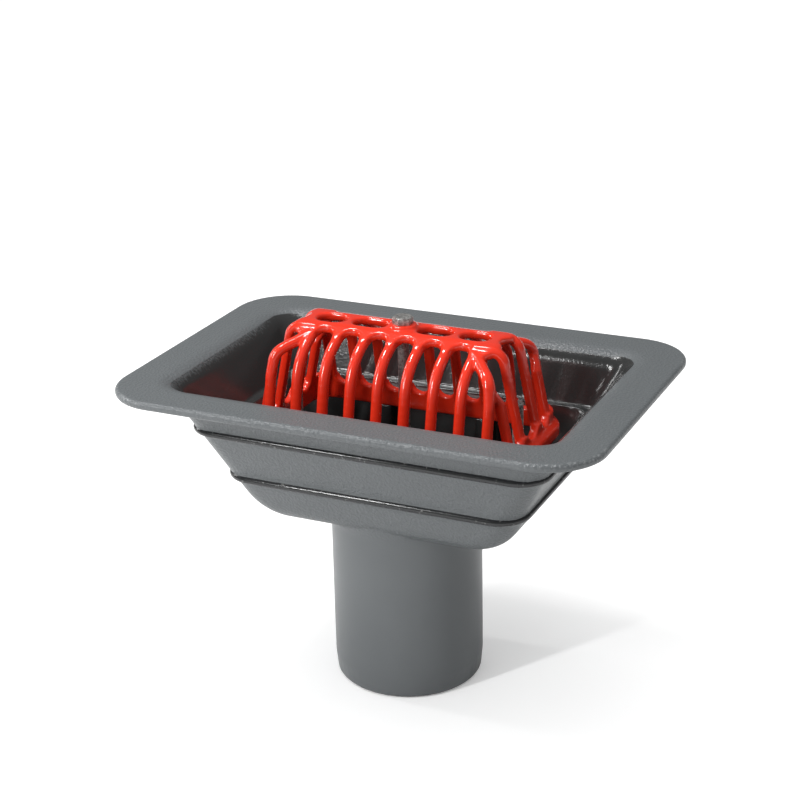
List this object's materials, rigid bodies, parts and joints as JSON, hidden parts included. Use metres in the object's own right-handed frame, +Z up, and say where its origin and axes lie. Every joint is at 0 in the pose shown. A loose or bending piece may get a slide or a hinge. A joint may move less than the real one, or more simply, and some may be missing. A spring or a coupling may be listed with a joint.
{
  "type": "balcony drain",
  "caption": "Rectangular cast balcony drain with a broad bonding flange, a deep tapered tray, a vertical outlet spigot and a bolted slotted gravel grate.",
  "frame": {"origin": "on the outlet axis, at the spigot's lower end", "axes": "+X along the flange's long side, +Y along its short side, +Z up"},
  "size_m": [0.36, 0.25, 0.2758],
  "materials": {
    "grey_coating": "satin grey coating on cast iron",
    "red_coating": "gloss red coating on cast iron",
    "zinc_steel": "zinc plated"
  },
  "bodies": {
    "root": {"drain_body": "grey_coating", "gravel_grate": "red_coating", "grate_bolt": "zinc_steel", "tray_studs": "zinc_steel"}
  },
  "joints": []
}
